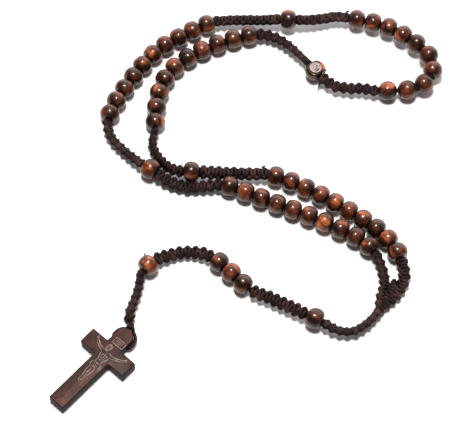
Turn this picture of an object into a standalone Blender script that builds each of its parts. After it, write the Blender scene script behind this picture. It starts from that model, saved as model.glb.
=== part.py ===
"""A corded wooden rosary, laid out on a flat surface.

Fifty-four beads are threaded on a closed loop of cord, in five decades with a larger bead
between each two. Five more beads and the cross hang on the pendant cord that leaves the
loop at its junction. Knotted bars of cord keep the groups of beads apart.

Metres, +Z up. Everything rests on z = 0, and the origin is under the middle of the layout.
"""
import colorsys
import math

import bmesh
import bpy
from mathutils import Matrix, Vector, geometry

MM = 0.001

# ---- Driving dimensions, in metres ----
HAIL_MARY_RADIUS = 0.0042
HAIL_MARY_LENGTH = 0.0065
OUR_FATHER_RADIUS = 0.00435
OUR_FATHER_LENGTH = 0.0070
MEDAL_BEAD_RADIUS = 0.0046
MEDAL_BEAD_LENGTH = 0.0071
BEAD_FACE_SCALE = 0.42
BEAD_SHOULDER_SCALE = 0.87
BEAD_SHOULDER_PLACE = 0.60
BORE_RADIUS = 0.00125
BEAD_SEGMENTS = 12

MEDAL_RADIUS = 0.0028
MEDAL_THICKNESS = 0.0007
MEDAL_SEAT_HEIGHT = 0.0027
MEDAL_RECESS_RADIUS = 0.0031
MEDAL_RECESS_DEPTH = 0.0009

BAR_WIDTH = 0.0052
BAR_THICKNESS = 0.0029
CORE_SCALE = 0.34
CORE_TIP_SCALE = 0.17
BAR_TAPER_SCALE = 0.72
BAR_TAPER_LENGTH = 0.0010
BAR_END_GAP = 0.0008
HINGE_BAR_GAP = 0.0012
HINGE_TIP_GAP = 0.0002
BAR_POINT_SPACING = 0.0048
CORD_SIDES = 10

CROSS_THICKNESS = 0.0048
CROSS_ARM_WIDTH = 0.0077
CROSS_SPAN = 0.0237
CROSS_TOP_LIMB = 0.0094
CROSS_LOWER_LIMB = 0.0261
CROSS_EASED_EDGE = 0.0004
CROSS_CENTRE = Vector((-0.0595, -0.0702, 0.0))
CROSS_ANGLE = math.radians(47.5)
CROSS_HOLE_ABOVE_ARMS = 0.0034
CROSS_HOLE_RADIUS = 0.0010
LOOP_CORD_RADIUS = 0.0007
LOOP_CLEARANCE = 0.0005
LOOP_KNOT_RADIUS = 0.0014
LOOP_KNOT_CENTRE = Vector((-0.0507, -0.0579, 0.0024))

# Where the two bars of the loop meet: the outline of the knotted web, in millimetres.
WEB_OUTLINE = (
    (50.6, -42.6),
    (55.4, -41.4),
    (60.2, -42.8),
    (59.6, -45.8),
    (51.6, -51.9),
    (50.2, -51.0),
    (50.7, -47.0),
)
WEB_HEIGHT = 0.0031
WEB_THICKNESS = 0.0032

SMOOTH_STEPS = 24
EPSILON = 0.00001


# ---- The cord's route. Each run starts where the one before it ends. ----
def bar(start_roll, end_roll, *points):
    """A knotted bar; roll 0 lies flat and 90 stands on edge."""
    return {"kind": "bar", "roll": (start_roll, end_roll), "points": points}


def beads(name, count, kind, *points):
    """A group of beads, spaced evenly between the ends of its run."""
    return {"kind": kind, "name": name, "count": count, "points": points}


LOOP_START = (52.8, -43.6, 3.1)
LOOP_RUNS = (
    bar(40, 50, (53.9, -39.5, 3.2), (53.5, -34.0, 3.2), (52.3, -29.0, 3.5), (50.6, -24.5, 4.2)),
    beads(
        "hail_mary_1", 10, "hail_mary",
        (39.6, -15.7), (27.1, -9.3), (13.6, -3.4), (0.1, 2.1), (-13.5, 7.5),
    ),
    bar(10, 10, (-20.6, 7.0, 3.2), (-28.5, 7.0, 2.9), (-35.4, 9.2, 3.3), (-40.9, 12.7, 4.3)),
    beads("our_father_1", 1, "our_father", (-46.8, 16.9)),
    bar(75, 80, (-52.2, 21.7, 3.4), (-57.0, 26.5, 3.1), (-61.4, 32.2, 3.4), (-62.7, 39.0, 4.1)),
    beads(
        "decade_2", 10, "joined",
        (-57.6, 51.7), (-50.9, 63.0), (-42.6, 74.2), (-30.6, 82.5), (-17.0, 89.6),
    ),
    bar(0, 0, (-9.3, 90.5, 4.2), (-2.0, 90.3, 4.5), (5.5, 90.2, 5.0), (12.3, 90.0, 5.8)),
    beads("our_father_2", 1, "our_father", (19.5, 89.4, 6.3)),
    bar(0, 0, (26.0, 89.7, 5.6), (32.0, 91.0, 5.0), (37.5, 92.0, 4.9), (42.6, 91.1, 5.0)),
    beads(
        "hail_mary_3", 5, "hail_mary",
        (56.6, 87.7, 5.2), (63.1, 84.6, 5.4), (68.8, 79.8, 5.6), (74.9, 75.0, 5.8),
    ),
    beads(
        "hail_mary_3", 5, "hail_mary",
        (79.0, 68.3, 5.8), (77.6, 59.2, 5.4), (69.8, 53.9, 4.9), (61.5, 53.8, 4.5), (54.2, 53.8),
    ),
    bar(15, 0, (48.0, 55.0, 4.2), (41.5, 55.2, 4.1), (35.0, 56.6, 4.4), (29.8, 60.9, 4.7)),
    beads("medal_bead", 1, "medal_bead", (25.0, 67.0)),
    bar(80, 0, (20.6, 72.5, 4.0), (15.3, 78.0, 3.9), (9.0, 81.9, 4.0), (2.2, 83.0, 4.2)),
    beads(
        "hail_mary_4", 10, "hail_mary",
        (-12.5, 79.0), (-26.0, 72.6), (-37.3, 62.2), (-41.6, 48.4), (-42.2, 34.5),
    ),
    bar(75, 55, (-43.2, 28.0, 3.4), (-41.2, 22.0, 3.1), (-36.3, 16.3, 3.3), (-29.9, 13.7, 4.2)),
    beads("our_father_3", 1, "our_father", (-22.7, 13.4)),
    bar(35, 0, (-13.0, 12.9, 4.0), (-2.4, 12.7, 4.1), (6.2, 12.5, 4.3)),
    beads(
        "hail_mary_5", 10, "hail_mary",
        (20.7, 6.5), (32.6, -0.2), (43.2, -7.4), (53.6, -15.5), (61.1, -27.7),
    ),
    bar(5, 20, (62.1, -32.6, 3.4), (61.8, -37.3, 3.0), (60.0, -41.2, 3.0), (57.6, -43.7, 3.1)),
)
PENDANT_START = (50.2, -52.2, 3.1)
PENDANT_RUNS = (
    bar(80, 75, (45.6, -57.0, 3.2), (39.9, -60.3, 3.2), (33.9, -59.9, 3.5), (28.0, -56.7, 4.2)),
    beads("pendant_our_father_1", 1, "our_father", (21.4, -53.4)),
    bar(0, 0, (13.7, -49.2, 4.1), (5.7, -45.2, 4.1), (-2.1, -41.7, 4.2)),
    beads("pendant_hail_mary", 3, "hail_mary", (-9.4, -34.2), (-17.0, -27.0)),
    bar(0, 0, (-22.4, -24.6, 3.3), (-29.0, -24.0, 2.9), (-35.5, -25.7, 3.3), (-41.2, -28.4, 4.3)),
    beads("pendant_our_father_2", 1, "our_father", (-46.5, -33.3)),
    bar(80, 75, (-47.4, -38.7, 3.5), (-49.0, -45.3, 3.1), (-51.0, -51.3, 3.0), (-51.1, -55.8, 2.6)),
)
# The pendant cord bends between these runs: each link is the runs up to and including its last.
PENDANT_LINKS = ((0, 1), (2, 2), (3, 3), (4, 5), (6, 6))

RADII = {
    "hail_mary": HAIL_MARY_RADIUS,
    "joined": HAIL_MARY_RADIUS,
    "our_father": OUR_FATHER_RADIUS,
    "medal_bead": MEDAL_BEAD_RADIUS,
}
LENGTHS = {
    "hail_mary": HAIL_MARY_LENGTH,
    "our_father": OUR_FATHER_LENGTH,
    "medal_bead": MEDAL_BEAD_LENGTH,
}

# Base colour, roughness and metallic value of each material.
BEAD_WOOD = ((0.115, 0.030, 0.014), 0.25, 0.0)
CROSS_WOOD = ((0.085, 0.028, 0.018), 0.45, 0.0)
CORD_FIBRE = ((0.018, 0.009, 0.008), 0.65, 0.0)
MEDAL_METAL = ((0.72, 0.60, 0.56), 0.30, 1.0)


# ---- Scene and materials ----
def clear_scene():
    for old in list(bpy.data.objects):
        bpy.data.objects.remove(old, do_unlink=True)


def new_collection(name):
    collection = bpy.data.collections.new(name)
    bpy.context.scene.collection.children.link(collection)
    return collection


def make_material(name, look, tone=1.0):
    colour, roughness, metallic = look
    hue, saturation, value = colorsys.rgb_to_hsv(*colour)
    red, green, blue = colorsys.hsv_to_rgb(hue, saturation, value * tone)
    material = bpy.data.materials.new(name)
    material.use_nodes = True
    shader = material.node_tree.nodes["Principled BSDF"]
    shader.inputs["Base Color"].default_value = (red, green, blue, 1.0)
    shader.inputs["Roughness"].default_value = roughness
    shader.inputs["Metallic"].default_value = metallic
    material.diffuse_color = (red, green, blue, 1.0)
    return material


def place(obj, collection, material, parent=None):
    """Link an object into a collection, under its parent, with its own material."""
    collection.objects.link(obj)
    obj.parent = parent
    if not obj.data.materials:
        obj.data.materials.append(None)
    obj.material_slots[0].link = "OBJECT"
    obj.material_slots[0].material = material
    return obj


def make_empty(name, collection, location=(0.0, 0.0, 0.0)):
    empty = bpy.data.objects.new(name, None)
    empty.empty_display_size = 0.005
    empty.location = location
    collection.objects.link(empty)
    return empty


def hide_as_guide(obj, guides):
    guides.objects.link(obj)
    obj.hide_render = True
    obj.display_type = "WIRE"
    return obj


def evaluated_mesh(obj):
    """The mesh of an object with its modifiers, with curve caps welded."""
    depsgraph = bpy.context.evaluated_depsgraph_get()
    mesh = bpy.data.meshes.new_from_object(obj.evaluated_get(depsgraph), depsgraph=depsgraph)
    work = bmesh.new()
    work.from_mesh(mesh)
    bmesh.ops.remove_doubles(work, verts=work.verts, dist=EPSILON)
    bmesh.ops.recalc_face_normals(work, faces=work.faces)
    work.to_mesh(mesh)
    work.free()
    return mesh


# ---- The smooth route ----
class Route:
    """A smooth curve through the points of a cord's runs, measured by length along it."""

    def __init__(self, start, runs):
        points = [Vector(start) * MM]
        self.marks = [0]
        for run in runs:
            for point in run["points"]:
                height = point[2] * MM if len(point) == 3 else RADII[run["kind"]]
                points.append(Vector((point[0] * MM, point[1] * MM, height)))
            self.marks.append(len(points) - 1)
        self.samples = self.through(points)
        self.lengths = [0.0]
        for before, after in zip(self.samples, self.samples[1:]):
            self.lengths.append(self.lengths[-1] + (after - before).length)

    @staticmethod
    def through(points):
        """Bezier spans through the points, each handle a third of its span long."""
        spans = [(b - a).length for a, b in zip(points, points[1:])]
        tangents = []
        for i in range(len(points)):
            before = (points[i] - points[i - 1]) / spans[i - 1] if i else None
            after = (points[i + 1] - points[i]) / spans[i] if i < len(spans) else None
            if before is None or after is None:
                tangents.append(before or after)
            else:
                weight = spans[i - 1] / (spans[i - 1] + spans[i])
                tangents.append(before.lerp(after, weight).normalized())
        samples = [points[0]]
        for i, span in enumerate(spans):
            first = points[i] + tangents[i] * span / 3
            second = points[i + 1] - tangents[i + 1] * span / 3
            curve = geometry.interpolate_bezier(points[i], first, second, points[i + 1], SMOOTH_STEPS + 1)
            samples.extend(curve[1:])
        return samples

    def run_ends(self, run):
        """Where a run starts and ends, as lengths along the route."""
        return tuple(self.lengths[self.marks[run + end] * SMOOTH_STEPS] for end in (0, 1))

    def at(self, length):
        """The point at a length along the route."""
        for i in range(1, len(self.lengths)):
            if length <= self.lengths[i] or i == len(self.lengths) - 1:
                span = self.lengths[i] - self.lengths[i - 1]
                share = (length - self.lengths[i - 1]) / span
                return self.samples[i - 1].lerp(self.samples[i], share)

    def stations(self, run, count, height):
        """The points between which a run's beads sit, never lower than they rest."""
        start, end = self.run_ends(run)
        found = [self.at(start + (end - start) * i / count) for i in range(count + 1)]
        return [Vector((point.x, point.y, max(point.z, height))) for point in found]


# ---- Beads ----
def turned_mesh(name, profile):
    """A solid turned about Z from a closed profile of (radius, height) points."""
    mesh = bpy.data.meshes.new(name)
    count = len(profile)
    edges = [(i, (i + 1) % count) for i in range(count)]
    mesh.from_pydata([(radius, 0.0, height) for radius, height in profile], edges, [])
    blank = bpy.data.objects.new(name, mesh)
    bpy.context.scene.collection.objects.link(blank)
    screw = blank.modifiers.new("Turn", "SCREW")
    screw.axis = "Z"
    screw.angle = math.tau
    screw.steps = BEAD_SEGMENTS
    screw.render_steps = BEAD_SEGMENTS
    screw.use_merge_vertices = True
    screw.merge_threshold = EPSILON
    turned = evaluated_mesh(blank)
    bpy.data.objects.remove(blank, do_unlink=True)
    turned.shade_smooth()
    turned.set_sharp_from_angle(angle=math.radians(50))
    return turned


def bead_profile(radius, length):
    """A barrel with flattened ends and a straight bore, run down its outer side first."""
    half = length / 2
    shoulder = BEAD_SHOULDER_PLACE * half
    outer = [(BEAD_FACE_SCALE * radius, half), (BEAD_SHOULDER_SCALE * radius, shoulder), (radius, 0.0)]
    lower = [(r, -height) for r, height in reversed(outer[:2])]
    return outer + lower + [(BORE_RADIUS, -half), (BORE_RADIUS, half)]


def place_bead(name, mesh, first, second, parts, material, parent):
    """A bead midway between two stations of the cord, with its bore along them."""
    bead = bpy.data.objects.new(name, mesh)
    bead.location = (first + second) / 2 - parent.location
    bead.rotation_mode = "QUATERNION"
    bead.rotation_quaternion = (second - first).to_track_quat("Z", "Y")
    return place(bead, parts, material, parent)


def tube_mesh(name, points, radius, sides_level=4):
    """A round tube along points given as (position, scale), as a closed mesh."""
    curve = bpy.data.curves.new(name, "CURVE")
    curve.dimensions = "3D"
    curve.twist_mode = "Z_UP"
    curve.bevel_depth = radius
    curve.bevel_resolution = sides_level
    curve.use_fill_caps = True
    spline = curve.splines.new("POLY")
    spline.points.add(len(points) - 1)
    for point, (position, scale) in zip(spline.points, points):
        point.co = (*position, 1.0)
        point.radius = scale
    swept = bpy.data.objects.new(name + "_sweep", curve)
    bpy.context.scene.collection.objects.link(swept)
    mesh = evaluated_mesh(swept)
    bpy.data.objects.remove(swept, do_unlink=True)
    return mesh


def joined_beads(name, stations, parts, guides, parent):
    """A whole decade as one solid: its beads meet end to end along one bore."""
    points = []
    for first, second in zip(stations, stations[1:]):
        near = (1 - BEAD_SHOULDER_PLACE) / 2
        points.append((first, BEAD_FACE_SCALE))
        points.append((first.lerp(second, near), BEAD_SHOULDER_SCALE))
        points.append((first.lerp(second, 0.5), 1.0))
        points.append((first.lerp(second, 1 - near), BEAD_SHOULDER_SCALE))
    points.append((stations[-1], BEAD_FACE_SCALE))
    whole = bpy.data.objects.new(name, tube_mesh(name, points, HAIL_MARY_RADIUS))
    whole.data.shade_smooth()
    before = stations[0] + (stations[0] - stations[1]).normalized() * 2 * MM
    after = stations[-1] + (stations[-1] - stations[-2]).normalized() * 2 * MM
    line = [(point, 1.0) for point in (before, *stations, after)]
    bore = bpy.data.objects.new(name + "_bore", tube_mesh(name + "_bore", line, BORE_RADIUS))
    hide_as_guide(bore, guides)
    cut = whole.modifiers.new("Bore", "BOOLEAN")
    cut.operation = "DIFFERENCE"
    cut.object = bore
    return place(whole, parts, make_material(name + "_wood", BEAD_WOOD), parent)


def cut_medal_seat(bead, guides):
    """Flatten the bead's upper side and sink a round recess in it for the medal."""
    bpy.ops.mesh.primitive_cube_add(size=2 * MEDAL_BEAD_RADIUS)
    flat = bpy.context.object
    flat.name = "medal_seat_cutter"
    flat.location = bead.parent.location + bead.location
    flat.location.z += MEDAL_SEAT_HEIGHT + MEDAL_BEAD_RADIUS
    depth = 2 * MEDAL_RECESS_DEPTH
    bpy.ops.mesh.primitive_cylinder_add(vertices=24, radius=MEDAL_RECESS_RADIUS, depth=depth)
    recess = bpy.context.object
    recess.name = "medal_recess_cutter"
    recess.location = bead.parent.location + bead.location
    recess.location.z += MEDAL_SEAT_HEIGHT
    for cutter in (flat, recess):
        cutter.users_collection[0].objects.unlink(cutter)
        hide_as_guide(cutter, guides)
        cut = bead.modifiers.new("Seat", "BOOLEAN")
        cut.operation = "DIFFERENCE"
        cut.object = cutter


def make_medal(bead, parts):
    """The plain disc that lies in the medal bead's recess."""
    bpy.ops.mesh.primitive_cylinder_add(vertices=24, radius=MEDAL_RADIUS, depth=MEDAL_THICKNESS)
    disc = bpy.context.object
    disc.name = "medal_disc"
    disc.users_collection[0].objects.unlink(disc)
    clearance = 0.0003
    floor = MEDAL_SEAT_HEIGHT - MEDAL_RECESS_DEPTH + clearance
    disc.location = bead.location + Vector((0.0, 0.0, floor + MEDAL_THICKNESS / 2))
    edge = disc.modifiers.new("Edge", "BEVEL")
    edge.width = 0.00012
    edge.segments = 1
    edge.limit_method = "ANGLE"
    return place(disc, parts, make_material("medal_metal", MEDAL_METAL), bead.parent)


# ---- Cords ----
def cord_section(guides):
    """The flat oval that a knotted bar is swept from; the core is the same oval, smaller."""
    curve = bpy.data.curves.new("cord_section", "CURVE")
    curve.dimensions = "2D"
    spline = curve.splines.new("POLY")
    spline.points.add(CORD_SIDES - 1)
    for i, point in enumerate(spline.points):
        turn = math.tau * (i + 0.5) / CORD_SIDES
        point.co = (math.cos(turn) * BAR_WIDTH / 2, math.sin(turn) * BAR_THICKNESS / 2, 0.0, 1.0)
    spline.use_cyclic_u = True
    return hide_as_guide(bpy.data.objects.new("cord_section", curve), guides)


def bar_points(route, run, roll, gaps, open_start=False, open_end=False):
    """A bar's points as (position, scale, roll): core, taper, full width, taper, core."""
    start, end = route.run_ends(run)
    first, last = start + gaps[0], end - gaps[1]
    marks = []
    if not open_start:
        marks += [(first, CORE_SCALE), (first + EPSILON * 5, BAR_TAPER_SCALE)]
    inner_first = first if open_start else first + BAR_TAPER_LENGTH
    inner_last = last if open_end else last - BAR_TAPER_LENGTH
    count = max(3, round((inner_last - inner_first) / BAR_POINT_SPACING))
    marks += [(inner_first + (inner_last - inner_first) * i / count, 1.0) for i in range(count + 1)]
    if not open_end:
        marks += [(last - EPSILON * 5, BAR_TAPER_SCALE), (last, CORE_SCALE)]
    found = []
    for length, scale in marks:
        share = (length - start) / (end - start)
        angle = math.radians(roll[0] + (roll[1] - roll[0]) * share)
        found.append((route.at(length), scale, angle))
    return found


def sweep(name, points, section, location=(0.0, 0.0, 0.0)):
    """A cord swept along points given as (position, scale, roll), about a location."""
    curve = bpy.data.curves.new(name, "CURVE")
    curve.dimensions = "3D"
    curve.twist_mode = "Z_UP"
    curve.bevel_mode = "OBJECT"
    curve.bevel_object = section
    curve.use_fill_caps = True
    spline = curve.splines.new("POLY")
    spline.points.add(len(points) - 1)
    for point, (position, scale, roll) in zip(spline.points, points):
        point.co = (*(position - Vector(location)), 1.0)
        point.radius = scale
        point.tilt = roll
    swept = bpy.data.objects.new(name + "_sweep", curve)
    bpy.context.scene.collection.objects.link(swept)
    mesh = evaluated_mesh(swept)
    bpy.data.objects.remove(swept, do_unlink=True)
    return bpy.data.objects.new(name, mesh)


def loop_cord(route, section, parts, guides, parent):
    """The closed loop: bars, the core through every bead, and the web that joins the ends."""
    points = []
    last_run = len(LOOP_RUNS) - 1
    for i, run in enumerate(LOOP_RUNS):
        if run["kind"] == "bar":
            ends = (0.0 if i == 0 else BAR_END_GAP, 0.0 if i == last_run else BAR_END_GAP)
            points += bar_points(route, i, run["roll"], ends, i == 0, i == last_run)
        else:
            before = LOOP_RUNS[i - 1]
            roll = math.radians(before["roll"][1]) if before["kind"] == "bar" else points[-1][2]
            stations = route.stations(i, run["count"], RADII[run["kind"]])
            skip = 1 if LOOP_RUNS[i - 1]["kind"] != "bar" else 0
            points += [(station, CORE_SCALE, roll) for station in stations[skip:]]
    loop = sweep("loop_cord", points, section)
    union = loop.modifiers.new("Web", "BOOLEAN")
    union.operation = "UNION"
    union.solver = "EXACT"
    union.object = junction_web(guides)
    return place(loop, parts, make_material("loop_cord_fibre", CORD_FIBRE), parent)


def junction_web(guides):
    """The flat knotted web that narrows from the loop's two bars to the pendant cord."""
    mesh = bpy.data.meshes.new("junction_web")
    mesh.from_pydata([(x * MM, y * MM, 0.0) for x, y in WEB_OUTLINE], [], [range(len(WEB_OUTLINE))])
    web = bpy.data.objects.new("junction_web", mesh)
    web.location.z = WEB_HEIGHT
    board = web.modifiers.new("Board", "SOLIDIFY")
    board.thickness = WEB_THICKNESS
    board.offset = 0.0
    edge = web.modifiers.new("Rounded", "BEVEL")
    edge.width = 0.0007
    edge.segments = 2
    edge.limit_method = "ANGLE"
    return hide_as_guide(web, guides)


def pendant_cord(route, number, section, parts, pivot):
    """One link of the pendant cord, from its hinge up to the next link's hinge."""
    first_run, last_run = PENDANT_LINKS[number]
    points = []
    for i in range(first_run, last_run + 1):
        run = PENDANT_RUNS[i]
        start, end = route.run_ends(i)
        if run["kind"] == "bar":
            roll = run["roll"]
            gap_before = HINGE_BAR_GAP if i == first_run else BAR_END_GAP
            gap_after = HINGE_BAR_GAP if i == last_run else BAR_END_GAP
            gaps = (gap_before, gap_after)
            found = bar_points(route, i, roll, gaps)
            if i == first_run:
                found.insert(0, (route.at(start + HINGE_TIP_GAP), CORE_TIP_SCALE, math.radians(roll[0])))
            if i == last_run:
                found.append((route.at(end - HINGE_TIP_GAP), CORE_TIP_SCALE, math.radians(roll[1])))
            points += found
        else:
            stations = route.stations(i, run["count"], RADII[run["kind"]])
            angle = points[-1][2] if points else 0.0
            step = (stations[1] - stations[0]).normalized() * HINGE_TIP_GAP
            back = (stations[-1] - stations[-2]).normalized() * HINGE_TIP_GAP
            middle = [(station, CORE_SCALE, angle) for station in stations[1:-1]]
            if i == first_run:
                middle.insert(0, (stations[0] + 4 * step, CORE_SCALE, angle))
                middle.insert(0, (stations[0] + step, CORE_TIP_SCALE, angle))
            else:
                middle.insert(0, (stations[0], CORE_SCALE, angle))
            middle.append((stations[-1] - 4 * back, CORE_SCALE, angle))
            middle.append((stations[-1] - back, CORE_TIP_SCALE, angle))
            points += middle
    name = f"pendant_cord_{number + 1}"
    cord = sweep(name, points, section, pivot.location)
    return place(cord, parts, make_material(name + "_fibre", CORD_FIBRE), pivot)


# ---- Cross ----
def cross_frame():
    """Turns the cross's own frame, upright along +Y, to where it lies."""
    return Matrix.Translation(CROSS_CENTRE) @ Matrix.Rotation(CROSS_ANGLE - math.pi / 2, 4, "Z")


def cross_outline():
    """The outline about the crossing's centre: a half-round top and square ends below."""
    half = CROSS_ARM_WIDTH / 2
    reach = CROSS_SPAN / 2
    round_centre = half + CROSS_TOP_LIMB - half
    top = []
    for i in range(13):
        turn = math.pi * i / 12
        top.append((half * math.cos(turn), round_centre + half * math.sin(turn)))
    foot = -half - CROSS_LOWER_LIMB
    left = [(-half, half), (-reach, half), (-reach, -half), (-half, -half), (-half, foot)]
    right = [(-x, y) for x, y in reversed(left)]
    return top + left + right


def cross_hole_centre():
    """The middle of the cross hole that the cord loop runs through."""
    return Vector((0.0, CROSS_ARM_WIDTH / 2 + CROSS_HOLE_ABOVE_ARMS, CROSS_THICKNESS / 2))


def make_cross(parts, guides, pivot):
    outline = cross_outline()
    mesh = bpy.data.meshes.new("cross")
    mesh.from_pydata([(x, y, 0.0) for x, y in outline], [], [range(len(outline))])
    cross = bpy.data.objects.new("cross", mesh)
    lift = Matrix.Translation((0.0, 0.0, CROSS_THICKNESS / 2))
    cross.matrix_world = Matrix.Translation(-pivot.location) @ cross_frame() @ lift
    board = cross.modifiers.new("Board", "SOLIDIFY")
    board.thickness = CROSS_THICKNESS
    board.offset = 0.0
    edge = cross.modifiers.new("Eased", "BEVEL")
    edge.width = CROSS_EASED_EDGE
    edge.segments = 2
    edge.limit_method = "ANGLE"
    edge.angle_limit = math.radians(40)
    bpy.ops.mesh.primitive_cylinder_add(vertices=16, radius=CROSS_HOLE_RADIUS, depth=2 * CROSS_ARM_WIDTH)
    drill = bpy.context.object
    drill.name = "cross_hole_cutter"
    drill.users_collection[0].objects.unlink(drill)
    hide_as_guide(drill, guides)
    sideways = Matrix.Rotation(math.pi / 2, 4, "Y")
    drill.matrix_world = cross_frame() @ Matrix.Translation(cross_hole_centre()) @ sideways
    hole = cross.modifiers.new("Hole", "BOOLEAN")
    hole.operation = "DIFFERENCE"
    hole.object = drill
    return place(cross, parts, make_material("cross_wood", CROSS_WOOD), pivot)


def make_cross_cord_loop(parts, guides, pivot):
    """The ring of cord through the cross's top, with the knot that closes it."""
    half = CROSS_ARM_WIDTH / 2
    reach = half + LOOP_CLEARANCE + LOOP_CORD_RADIUS
    hole = cross_hole_centre()
    corner = 0.0011
    points = [Vector((-half, hole.y, 0.0)), Vector((half, hole.y, 0.0))]
    for i in range(1, 4):
        turn = math.radians(-90 + 90 * i / 3)
        across = reach - corner + corner * math.cos(turn)
        points.append(Vector((across, hole.y + corner + corner * math.sin(turn), 0.0)))
    for i in range(13):
        turn = math.pi * i / 12
        points.append(Vector((reach * math.cos(turn), CROSS_TOP_LIMB + reach * math.sin(turn), 0.0)))
    for i in range(3):
        turn = math.radians(180 + 90 * i / 3)
        across = corner - reach + corner * math.cos(turn)
        points.append(Vector((across, hole.y + corner + corner * math.sin(turn), 0.0)))
    curve = bpy.data.curves.new("cross_cord_loop", "CURVE")
    curve.dimensions = "3D"
    curve.bevel_depth = LOOP_CORD_RADIUS
    curve.bevel_resolution = 2
    spline = curve.splines.new("POLY")
    spline.points.add(len(points) - 1)
    for point, position in zip(spline.points, points):
        point.co = (*position, 1.0)
    spline.use_cyclic_u = True
    swept = bpy.data.objects.new("cross_loop_sweep", curve)
    bpy.context.scene.collection.objects.link(swept)
    mesh = evaluated_mesh(swept)
    bpy.data.objects.remove(swept, do_unlink=True)
    ring = bpy.data.objects.new("cross_cord_loop", mesh)
    to_hole = Matrix.Translation((0.0, 0.0, hole.z))
    ring.matrix_world = Matrix.Translation(-pivot.location) @ cross_frame() @ to_hole
    bpy.ops.mesh.primitive_ico_sphere_add(subdivisions=2, radius=LOOP_KNOT_RADIUS)
    knot = bpy.context.object
    knot.name = "cross_loop_knot"
    knot.users_collection[0].objects.unlink(knot)
    hide_as_guide(knot, guides)
    knot.location = LOOP_KNOT_CENTRE
    union = ring.modifiers.new("Knot", "BOOLEAN")
    union.operation = "UNION"
    union.solver = "EXACT"
    union.object = knot
    return place(ring, parts, make_material("cross_loop_fibre", CORD_FIBRE), pivot)


# ---- The whole rosary ----
def thread_beads(route, runs, parts, guides, parents):
    """Every group of beads in a list of runs; parents gives each run's empty."""
    numbers = {}
    for i, run in enumerate(runs):
        if run["kind"] == "bar":
            continue
        stations = route.stations(i, run["count"], RADII[run["kind"]])
        if run["kind"] == "joined":
            joined_beads(run["name"] + "_beads", stations, parts, guides, parents[i])
            continue
        mesh = turned_mesh(run["name"], bead_profile(RADII[run["kind"]], LENGTHS[run["kind"]]))
        for first, second in zip(stations, stations[1:]):
            numbers[run["name"]] = numbers.get(run["name"], 0) + 1
            number = numbers[run["name"]]
            name = f"{run['name']}_{number:02d}" if run["count"] > 1 else run["name"]
            tone = 1.0 + 0.25 * math.sin(2.4 * number + i)
            wood = make_material(name + "_wood", BEAD_WOOD, tone)
            bead = place_bead(name, mesh, first, second, parts, wood, parents[i])
            if run["kind"] == "medal_bead":
                make_medal(bead, parts)
                cut_medal_seat(bead, guides)


def main():
    clear_scene()
    parts = new_collection("rosary")
    guides = new_collection("guides")
    section = cord_section(guides)

    loop_route = Route(LOOP_START, LOOP_RUNS)
    loop = make_empty("loop", parts)
    loop_cord(loop_route, section, parts, guides, loop)
    thread_beads(loop_route, LOOP_RUNS, parts, guides, [loop] * len(LOOP_RUNS))

    pendant_route = Route(PENDANT_START, PENDANT_RUNS)
    parents = []
    for number, (first_run, last_run) in enumerate(PENDANT_LINKS):
        hinge = pendant_route.at(pendant_route.run_ends(first_run)[0])
        pivot = make_empty(f"pendant_link_{number + 1}", parts, hinge)
        pendant_cord(pendant_route, number, section, parts, pivot)
        parents += [pivot] * (last_run - first_run + 1)
    thread_beads(pendant_route, PENDANT_RUNS, parts, guides, parents)

    loop_hinge = make_empty("cross_loop_hinge", parts, pendant_route.samples[-1])
    make_cross_cord_loop(parts, guides, loop_hinge)
    cross_hinge = make_empty("cross_hinge", parts, cross_frame() @ cross_hole_centre())
    make_cross(parts, guides, cross_hinge)


main()
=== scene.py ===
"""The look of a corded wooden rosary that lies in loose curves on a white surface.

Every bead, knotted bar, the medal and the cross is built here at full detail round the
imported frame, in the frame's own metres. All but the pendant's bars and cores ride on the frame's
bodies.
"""
import math
import random

import bmesh
import bpy
from mathutils import Matrix, Vector, geometry, noise


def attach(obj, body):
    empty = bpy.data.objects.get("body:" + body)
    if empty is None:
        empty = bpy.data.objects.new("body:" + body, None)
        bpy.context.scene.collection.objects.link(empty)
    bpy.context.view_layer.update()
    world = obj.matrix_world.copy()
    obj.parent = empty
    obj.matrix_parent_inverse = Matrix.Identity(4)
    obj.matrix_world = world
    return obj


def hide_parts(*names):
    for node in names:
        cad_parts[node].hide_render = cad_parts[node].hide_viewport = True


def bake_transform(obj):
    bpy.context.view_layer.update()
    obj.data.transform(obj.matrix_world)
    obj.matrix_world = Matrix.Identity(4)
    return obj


MM = 0.001
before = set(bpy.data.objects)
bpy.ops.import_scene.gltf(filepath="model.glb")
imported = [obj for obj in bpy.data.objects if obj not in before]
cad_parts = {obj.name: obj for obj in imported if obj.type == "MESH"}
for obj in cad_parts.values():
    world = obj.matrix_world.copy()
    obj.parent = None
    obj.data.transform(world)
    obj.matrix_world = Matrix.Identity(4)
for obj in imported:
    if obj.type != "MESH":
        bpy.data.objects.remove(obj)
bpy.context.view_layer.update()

# ---------------------------------------------------------------- sizes, in millimetres
RADII = {"hail_mary": 4.3, "joined": 4.3, "our_father": 4.45, "medal_bead": 4.6}
LONGEST_BEAD = 8.1
BEAD_GAP = 0.1
BORE = 1.12
BORE_LIP = 1.52
BEAD_SEGMENTS = 36
# Points further out than this are on a bead's outside, and may be uneven or cut flat.
BEAD_SKIN = BORE + 0.2
FACET_CHANCE = 0.4
# How much of what stands past a facet's plane is cut away.
FACET_CUT = 0.88
CORE_RADIUS = 0.9
KNOT_STEP = 1.56
STRAND_RADIUS = 0.86
# A strand's height over and under the core, its reach to the side, and a lobe's further reach.
STRAND_OVER = 0.84
STRAND_UNDER = 0.58
STRAND_SPREAD = 1.28
LOBE_SPREAD = 0.33
SWING_SNAP = 1.8
TURN_STEPS = 9
CORE_STEP = 1.6
FLOOR_GAP = 0.05
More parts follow.
